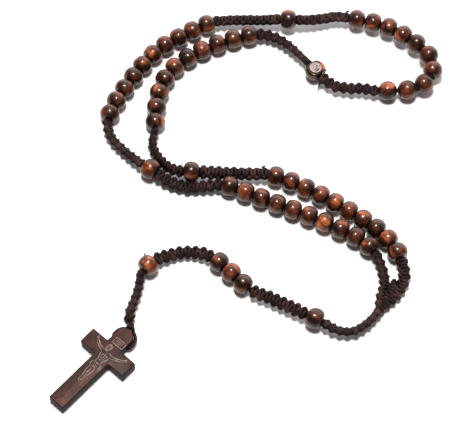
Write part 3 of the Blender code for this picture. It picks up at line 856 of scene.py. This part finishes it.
def knotted_strand(path, which, turns, width, wander):
    """One of a bar's two working cords, which cross over the core at every half knot."""
    step = (path.end - path.start) / turns
    points = []
    radii = []
    for n in range(turns * TURN_STEPS + 1):
        u = n / TURN_STEPS
        swing = math.cos(math.pi * u + which * math.pi)
        x = -math.tanh(SWING_SNAP * swing) / math.tanh(SWING_SNAP)
        crossing = math.sin(math.pi * u) ** 2
        z = (1 - 2 * which) * (STRAND_OVER * crossing - STRAND_UNDER * (1 - crossing))
        # Every second turn is a wide lobe, the one between is tucked in: a pair is one knot.
        lobe = 0.5 - 0.5 * math.cos(math.pi * u)
        length = path.start + step * (u - 0.05 * math.sin(math.pi * u))
        narrowing = path.narrowing(length)
        knot = int(u + 0.5) + which
        spread = (STRAND_SPREAD + LOBE_SPREAD * lobe) * width * narrowing * (1 + wander[knot])
        centre, wide, thick = path.frame(length)
        thickness = 0.45 + 0.55 * narrowing
        radius = STRAND_RADIUS * thickness * (1 + (1 - crossing) * (0.62 * lobe - 0.24))
        point = centre + wide * x * spread + thick * z
        points.append(Vector((point.x, point.y, max(point.z, radius + FLOOR_GAP))))
        radii.append(radius)
    for i, shrink in enumerate((0.72, 0.9, 0.97)):
        radii[i] *= shrink
        radii[-1 - i] *= shrink
    return tube(points, radii, 8)


def bar_core(path, width):
    """The flat filling between a bar's strands."""
    count = max(4, round((path.end - path.start) / 1.5))
    lengths = [path.start + (path.end - path.start) * i / count for i in range(count + 1)]
    frames = [path.frame(length) for length in lengths]
    radii = [1.15 * width * path.narrowing(length) for length in lengths]
    return tube([centre for centre, _, _ in frames], radii, 10, 0.45, [thick for _, _, thick in frames])


def knotted_bar(name, route, start, end, rolls, width=1.0, end_widths=(1.0, 1.0), taper=9.0):
    """Two working cords tied in square knots over a core, between two lengths of a route."""
    path = BarPath(route, start, end, rolls, end_widths, taper)
    bundle = Bundle()
    turns = 2 * max(2, round((end - start) / (2 * KNOT_STEP)))
    rng = random.Random(name)
    wander = [rng.uniform(-0.09, 0.09) for _ in range(turns * 2 + 4)]
    for which in (0, 1):
        bundle.add(knotted_strand(path, which, turns, width, wander), rng.uniform(0, 9))
    bundle.add(bar_core(path, width), rng.uniform(0, 9))
    obj = new_object(name, bundle.mesh(name), CORD)
    return obj


def core_cord(name, route, start, end):
    """The plain core that runs through bars and beads, as a round tube with its path."""
    count = round((end - start) / CORE_STEP)
    points = [route.at(start + (end - start) * i / count) for i in range(count + 1)]
    bundle = Bundle()
    bundle.add(tube(points, CORE_RADIUS))
    obj = new_object(name, bundle.mesh(name), CORD)
    return obj, [p * MM for p in points], length_of(points) * MM


loop_route = Route.of_runs(LOOP_START, LOOP_RUNS)
pendant_route = Route.of_runs(PENDANT_START, PENDANT_RUNS)


def loop_bar(index, number):
    """A bar of the loop. The first and last run on, side by side, into the pendant's tip."""
    run = LOOP_RUNS[index]
    name = f"knotted_bar_{number:02d}"
    begin, finish = loop_route.run_ends(index)
    if index == 0:
        route = Route([(49.9, -52.8, 3.1), (51.4, -48.4, 3.2), LOOP_START, *run["points"]])
        return knotted_bar(name, route, 0.0, route.total, run["roll"], END_BAR_WIDTH, (END_BAR_TIP, 1.0))
    if index == len(LOOP_RUNS) - 1:
        tip = ((57.0, -44.8, 3.0), (54.0, -48.2, 3.1), (50.7, -51.9, 3.1))
        route = Route([loop_route.at(begin), *run["points"][:-1], *tip])
        return knotted_bar(name, route, 0.0, route.total, run["roll"], END_BAR_WIDTH, (1.0, END_BAR_TIP))
    width = BAR_WIDTHS.get(number, 1.0)
    return knotted_bar(name, loop_route, begin - 0.1, finish + 0.1, run["roll"], width)


def make_loop():
    """The bars, the web that closes them at the junction, and the core through them."""
    bar_runs = [index for index, run in enumerate(LOOP_RUNS) if run["kind"] == "bar"]
    bars = []
    for number, index in enumerate(bar_runs, 1):
        bars.append(loop_bar(index, number))
        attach(bars[-1], "loop")
    route = Route(WEB_POINTS)
    web = knotted_bar("knotted_web", route, 0.0, route.total, (10, 20), 0.95, (0.35, 0.45))
    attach(web, "loop")
    core, path, length = core_cord("loop_core", loop_route, 0.0, loop_route.total)
    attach(core, "loop")
    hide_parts("loop_cord")


def bend(piece, begin, until):
    """Bakes a piece's placement into its mesh. It does not bend the piece: the two points of the pendant
    are worked out but not used.
    """
    start, end = pendant_route.at(begin) * MM, pendant_route.at(until) * MM
    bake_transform(piece)


def pendant_bar(number, bodies, hinge, end, rolls, **shape):
    """A bar of the pendant that begins at a hinge."""
    made = knotted_bar(f"pendant_bar_{number}", pendant_route, hinge + HINGE_GAP, end, rolls, **shape)
    bend(made, hinge, hinge + HINGE_BEND)
    return made


def make_pendant_cord():
    """Four bars over two lengths of core."""
    first_end, third_end = (pendant_route.run_ends(i)[1] - HINGE_GAP for i in (0, 4))
    hinge_2, hinge_3, hinge_4, hinge_5 = (pendant_route.run_ends(i)[0] for i in (2, 3, 4, 6))
    links = [f"pendant_link_{number}" for number in range(1, 6)]
    cords = [f"pendant_cord_{number}" for number in range(1, 6)]
    # The first bar begins inside the web.
    first = knotted_bar("pendant_bar_1", pendant_route, -WEB_OVERLAP, first_end, (72, 35))
    bend(first, -WEB_OVERLAP, 4.5)
    bars = [
        first,
        pendant_bar(2, links[0:2], hinge_2, hinge_3 - 0.8, (0, 0),
                    width=1.14, end_widths=(1.0, 0.6), taper=2.0),
        pendant_bar(3, links[2:4], hinge_4, third_end, (0, 0),
                    width=1.14, end_widths=(0.8, 0.9), taper=3.0),
        pendant_bar(4, links[3:5], hinge_5, pendant_route.total - 0.3, (74, 52)),
    ]
    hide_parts(cords[4])
    cores = ((0.2, hinge_3 - 0.1, hinge_2), (hinge_3 + 0.1, hinge_5 - 0.1, hinge_4))
    for i, (begin, until, hinge) in enumerate(cores):
        pair = slice(2 * i, 2 * i + 2)
        core, path, length = core_cord(f"pendant_core_{i + 1}", pendant_route, begin, until)
        bend(core, hinge, hinge + HINGE_BEND)
        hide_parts(*cords[pair])


make_loop()
make_pendant_cord()
make_beads(loop_route, LOOP_RUNS)
make_beads(pendant_route, PENDANT_RUNS)


# ---------------------------------------------------------------- cross
def cross_matrix():
    return Matrix.Translation(CROSS_CENTRE * MM) @ Matrix.Rotation(CROSS_ANGLE - math.pi / 2, 4, "Z")


def cross_outline():
    half, span = CROSS_ARM_HALF, CROSS_SPAN / 2
    turns = [math.pi * i / 24 for i in range(25)]
    top = [(half * math.cos(turn), CROSS_TOP + half * math.sin(turn)) for turn in turns]
    left = [(-half, half), (-span, half), (-span, -half), (-half, -half), (-half, -half - CROSS_LOWER)]
    return top + left + [(-x, y) for x, y in reversed(left)]


def make_cross():
    """The board, cut to its outline, with eased edges and a hole through its top limb."""
    outline = [(x * MM, y * MM, CROSS_THICKNESS * MM / 2) for x, y in cross_outline()]
    mesh = bpy.data.meshes.new("cross_board")
    mesh.from_pydata(outline, [], [range(len(outline))])
    board = new_object("cross_board", mesh, CROSS_WOOD, cross_matrix())
    thick = board.modifiers.new("Board", "SOLIDIFY")
    thick.thickness = CROSS_THICKNESS * MM
    thick.offset = 0.0
    edge = board.modifiers.new("Eased", "BEVEL")
    edge.width = 0.55 * MM
    edge.segments = 4
    edge.limit_method = "ANGLE"
    edge.angle_limit = math.radians(40)
    bpy.ops.mesh.primitive_cylinder_add(vertices=24, radius=CROSS_HOLE_RADIUS * MM, depth=16 * MM)
    drill = bpy.context.object
    sideways = Matrix.Rotation(math.pi / 2, 4, "Y")
    drill.matrix_world = cross_matrix() @ Matrix.Translation(CROSS_HOLE * MM) @ sideways
    hole = board.modifiers.new("Hole", "BOOLEAN")
    hole.operation = "DIFFERENCE"
    hole.solver = "EXACT"
    hole.object = drill
    graph = bpy.context.evaluated_depsgraph_get()
    made = bpy.data.meshes.new_from_object(board.evaluated_get(graph), depsgraph=graph)
    board.modifiers.clear()
    board.data = made
    made.name = "cross_board"
    made.materials.clear()
    made.materials.append(CROSS_WOOD)
    made.shade_smooth()
    made.set_sharp_from_angle(angle=math.radians(32))
    bpy.data.objects.remove(drill, do_unlink=True)
    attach(board, "cross")
    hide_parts("cross")


def figure_strokes():
    """A calm figure with its arms out, in a few cut lines, under a plaque with plain lines."""
    thin, line, bold = (0.04, 0.12, 0.04), (0.06, 0.16, 0.06), (0.08, 0.23, 0.08)
    plaque = [
        ([(-1.7, 4.5), (3.4, 4.5)], (0.12, 0.18, 0.14)),
        ([(-1.7, 7.3), (3.4, 7.3)], (0.10, 0.14, 0.10)),
        ([(-1.7, 4.5), (-1.7, 7.3)], (0.12, 0.15, 0.10)),
        ([(3.4, 4.5), (3.4, 7.3)], (0.18, 0.16, 0.12)),
        ([(-1.0, 6.5), (2.7, 6.5)], thin),
        ([(-1.0, 5.9), (2.7, 5.9)], thin),
        ([(-1.0, 5.3), (2.7, 5.3)], thin),
    ]
    figure = [
        # left arm, from hand to shoulder
        ([(-8.6, -0.1), (-7.9, -0.9), (-6.2, -2.1), (-4.0, -3.0), (-2.0, -3.4)], bold),
        ([(-8.0, -1.7), (-6.6, -2.9), (-4.6, -4.0), (-2.4, -4.7)], line),
        ([(-8.9, -0.7), (-8.3, -1.1), (-7.9, -0.9)], line),
        ([(-8.7, 0.5), (-8.2, -0.2), (-7.9, -0.9)], thin),
        ([(-5.9, -2.7), (-4.6, -3.3), (-3.2, -3.8)], thin),
        # right arm
        ([(9.4, -0.4), (8.6, -1.3), (6.8, -2.4), (4.6, -3.3), (2.6, -3.8)], bold),
        ([(9.0, -2.1), (7.4, -3.2), (5.2, -4.3), (3.0, -5.0)], line),
        ([(9.9, -1.0), (9.2, -1.4), (8.6, -1.3)], line),
        ([(9.6, 0.3), (9.0, -0.6), (8.6, -1.3)], thin),
        ([(6.6, -3.0), (5.4, -3.6), (4.0, -4.2)], thin),
        # shoulders, chest and ribs
        ([(-2.0, -3.4), (-1.2, -3.2), (-0.4, -3.5)], line),
        ([(2.6, -3.8), (1.6, -3.4), (0.8, -3.5)], line),
        ([(-2.4, -4.7), (-1.9, -6.6), (-1.2, -8.6), (-1.4, -10.2)], bold),
        ([(3.0, -5.0), (2.5, -6.8), (1.7, -8.8), (1.7, -10.2)], bold),
        ([(0.3, -4.2), (0.35, -6.4), (0.2, -9.4)], thin),
        ([(-1.5, -5.2), (-0.5, -5.6), (0.2, -5.2)], line),
        ([(0.5, -5.2), (1.2, -5.7), (2.1, -5.4)], line),
        ([(-1.3, -6.3), (-0.6, -6.6), (-0.1, -6.3)], thin),
        ([(0.7, -6.4), (1.3, -6.7), (1.8, -6.5)], thin),
        ([(-1.1, -7.2), (-0.5, -7.5), (0.0, -7.2)], thin),
        ([(0.5, -7.3), (1.0, -7.6), (1.5, -7.4)], thin),
        ([(-0.8, -8.4), (0.2, -8.9), (1.1, -8.5)], thin),
        # cloth about the waist
        ([(-1.7, -10.2), (0.2, -10.7), (2.0, -10.1)], bold),
        ([(-1.9, -10.6), (-2.2, -12.2), (-1.6, -13.9)], line),
        ([(2.1, -10.4), (2.6, -12.0), (1.7, -13.6)], line),
        ([(-1.6, -13.9), (0.0, -13.1), (1.7, -13.6)], line),
        ([(-1.3, -11.1), (0.2, -12.0), (1.9, -12.2)], thin),
        ([(-1.5, -12.0), (0.0, -12.7), (1.4, -13.0)], thin),
        ([(2.3, -10.6), (3.4, -11.6), (3.2, -13.2), (2.5, -14.4)], line),
        ([(2.5, -11.2), (2.9, -12.3), (2.6, -13.5)], thin),
        # legs and feet
        ([(-1.4, -13.9), (-1.5, -16.0), (-0.9, -18.2), (-0.6, -20.4)], bold),
        ([(1.5, -13.6), (1.6, -15.8), (1.2, -18.0), (0.9, -20.4)], bold),
        ([(0.1, -13.8), (0.0, -16.2), (0.3, -18.4), (0.2, -20.6)], line),
        ([(-0.9, -16.4), (-0.5, -16.8), (-0.1, -16.4)], thin),
        ([(0.5, -16.2), (0.8, -16.6), (1.2, -16.2)], thin),
        ([(-0.6, -20.4), (-0.7, -21.6), (0.0, -22.6), (0.6, -21.8), (0.9, -20.4)], line),
        ([(0.0, -21.0), (0.1, -21.8)], thin),
        # head, turned a little down: hair, then a plain oval face with closed lids
        ([(-2.1, -1.4), (-1.9, -0.2), (-1.0, 0.35), (-0.05, -0.1), (0.2, -1.2), (0.0, -2.4)], bold),
        ([(-2.1, -1.4), (-2.2, -2.3), (-1.9, -3.1)], line),
        ([(-1.75, -1.0), (-1.7, -2.0), (-1.0, -2.95), (-0.4, -2.0), (-0.35, -1.0)], line),
        ([(-1.5, -1.35), (-1.3, -1.45), (-1.15, -1.35)], thin),
        ([(-0.85, -1.35), (-0.7, -1.45), (-0.5, -1.35)], thin),
        ([(-1.0, -1.4), (-1.02, -1.9)], (0.04, 0.09, 0.06)),
        ([(-1.25, -2.25), (-1.0, -2.32), (-0.75, -2.25)], thin),
        ([(-1.9, -0.35), (-1.0, -0.55), (-0.1, -0.4)], line),
    ]
    placed = []
    for points, widths in figure:
        placed.append(([(0.9 * x, 0.87 * y + 2.9) for x, y in points], widths))
    return plaque + placed


def make_engraving():
    """The strokes, as shallow flat cuts in the cross's upper face."""
    bundle = Bundle()
    for points, widths in figure_strokes():
        route = Route([(x, y, CROSS_THICKNESS - 0.005) for x, y in points])
        count = max(3, round(route.total / STROKE_STEP))
        bundle.add(tapered_tube(route, count, widths, 6, 0.2, Vector((0, 0, 1))))
    mesh = bundle.mesh("cross_engraving")
    engraving = new_object("cross_engraving", mesh, ENGRAVED, cross_matrix())
    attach(engraving, "cross")


def make_ring():
    """The cord loop, once round through the hole in the top of the cross."""
    reach = CROSS_ARM_HALF + 0.12 + RING_RADIUS
    corner = 1.3
    points = []
    hole_y = CROSS_HOLE.y

    def arc(cx, cy, radius, first, last, steps):
        for i in range(steps + 1):
            turn = math.radians(first + (last - first) * i / steps)
            points.append(Vector((cx + radius * math.cos(turn), cy + radius * math.sin(turn), 0)))

    arc(0, CROSS_TOP, reach, 104, 180, 10)
    arc(corner - reach, hole_y + corner, corner, 180, 270, 4)
    points.append(Vector((-1.3, hole_y, 0)))
    points.append(Vector((1.3, hole_y, 0)))
    arc(reach - corner, hole_y + corner, corner, -90, 0, 4)
    arc(0, CROSS_TOP, reach, 0, 78, 12)
    points.append(Vector((0.2, CROSS_TOP + reach + 0.6, 0.9)))
    points.append(Vector((-1.8, CROSS_TOP + reach + 1.8, 0.7)))
    points.append(Vector((-3.5, CROSS_TOP + reach + 2.9, 0.3)))
    matrix = cross_matrix() @ Matrix.Translation((0, 0, CROSS_HOLE.z * MM))
    line = Route(points)
    count = round(line.total / 0.6)
    path = [line.at(line.total * i / count) for i in range(count + 1)]
    bundle = Bundle()
    bundle.add(tube(path, RING_RADIUS, 10))
    ring = new_object("cross_cord_ring", bundle.mesh("cross_cord_ring"), CORD, matrix)
    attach(ring, "cross_loop")
    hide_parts("cross_cord_loop")
    make_ring_knot()


def make_ring_knot():
    """The wound knot that closes the cord loop: three tilted turns."""
    knot = Bundle()
    for k, (tilt, size) in enumerate(((20, 1.15), (95, 1.05), (150, 0.95))):
        turn = Matrix.Rotation(math.radians(tilt), 3, "Z") @ Matrix.Rotation(math.radians(62), 3, "X")
        wrap = []
        for i in range(21):
            angle = math.tau * i / 20
            reach = Vector((size * math.cos(angle), size * math.sin(angle), 0.25 * math.sin(angle)))
            wrap.append(RING_KNOT_CENTRE + turn @ reach)
        knot.add(tube(wrap, RING_KNOT_STRAND), k)
    wound = new_object("cross_ring_knot", knot.mesh("cross_ring_knot"), CORD)
    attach(wound, "cross_loop")
    return wound


make_cross()
make_engraving()
make_ring()


# ---------------------------------------------------------------- melted cord ends
def melted_tip(name, body, widths, *points):
    bundle = Bundle()
    bundle.add(tapered_tube(Route(points), 8, widths, 7))
    tip = new_object(name, bundle.mesh(name), MELTED)
    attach(tip, body)


for melted in (
    ("melted_tip_1", "loop", (0.6, 0.38, 0.12), (30.2, 61.6, 5.2), (31.5, 62.9, 5.9), (32.6, 63.3, 6.1)),
    ("melted_tip_2", "loop", (0.5, 0.32, 0.12), (29.6, 58.8, 3.4), (28.6, 57.0, 2.6), (28.3, 55.8, 2.2)),
    ("melted_tip_3", "loop", (0.6, 0.5, 0.3), (41.6, 94.2, 4.6), (42.3, 94.7, 4.9), (42.9, 94.8, 5.0)),
    ("melted_tip_5", "pendant_link_4", (0.5, 0.38, 0.26),
     (-43.2, -28.7, 4.8), (-44.9, -27.6, 6.6), (-45.6, -27.1, 8.4)),
    ("melted_tip_4", "loop", (0.6, 0.5, 0.3), (3.6, 15.6, 4.2), (4.5, 16.1, 4.4), (5.2, 16.2, 4.5)),
):
    melted_tip(*melted)
